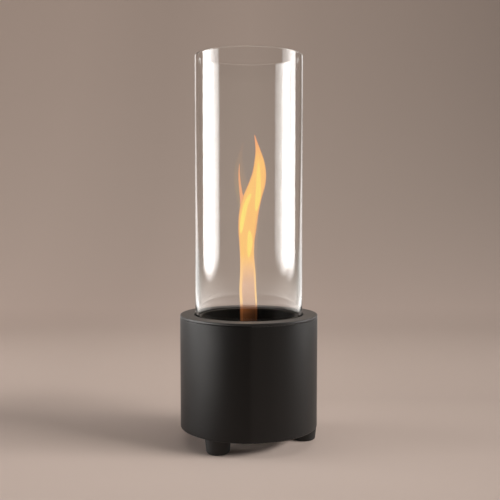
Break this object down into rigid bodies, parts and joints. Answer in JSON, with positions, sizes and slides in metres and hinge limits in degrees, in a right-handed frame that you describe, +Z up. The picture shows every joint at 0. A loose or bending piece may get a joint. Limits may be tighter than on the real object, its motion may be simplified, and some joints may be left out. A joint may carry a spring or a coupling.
{
  "type": "tabletop fireplace",
  "caption": "Small table fireplace: a clear glass chimney stands in the top of a round black base on short feet, with a lift-out swirl insert and a refillable fuel can inside.",
  "frame": {"origin": "on the table, under the middle of the base", "axes": "+Z up along the glass chimney, -Y to the front as pictured, +X to the right"},
  "size_m": [0.116, 0.116, 0.3235],
  "materials": {
    "chimney_glass": "clear fire-polished borosilicate",
    "black_powder_coat": "fine matte black powder coat",
    "black_heat_paint": "satin black heat-proof paint",
    "gasket_silicone": "matte heat-proof silicone",
    "plated_steel": "zinc plated",
    "can_steel": "drawn stainless, heat tinted at the mouth",
    "foot_rubber": "matte moulded rubber",
    "ceramic_wool": "matted white ceramic fibre"
  },
  "bodies": {
    "base": {"base_shell": "black_powder_coat", "cover_ring": "black_powder_coat", "glass_gasket": "gasket_silicone", "air_inlet_plate": "plated_steel", "tie_pillar_1": "plated_steel", "tie_pillar_2": "plated_steel", "tie_pillar_3": "plated_steel", "pillar_studs": "plated_steel", "foot_1": "foot_rubber", "foot_2": "foot_rubber", "foot_3": "foot_rubber", "foot_washers": "plated_steel", "foot_screws": "plated_steel"},
    "glass": {"glass_tube": "chimney_glass"},
    "swirl_insert": {"insert_collar": "black_heat_paint", "swirl_vanes": "black_heat_paint", "can_tray": "black_heat_paint"},
    "burner_can": {"fuel_can": "can_steel", "can_lid": "can_steel", "fuel_wool": "ceramic_wool"}
  },
  "joints": [
    {"name": "glass_lift", "type": "slide", "parent": "base", "child": "glass", "axis": [0, 0, 1], "range_m": [0, 0.18]},
    {"name": "insert_lift", "type": "slide", "parent": "base", "child": "swirl_insert", "axis": [0, 0, 1], "range_m": [0, 0.1]},
    {"name": "can_lift", "type": "slide", "parent": "swirl_insert", "child": "burner_can", "axis": [0, 0, 1], "range_m": [0, 0.07]}
  ]
}
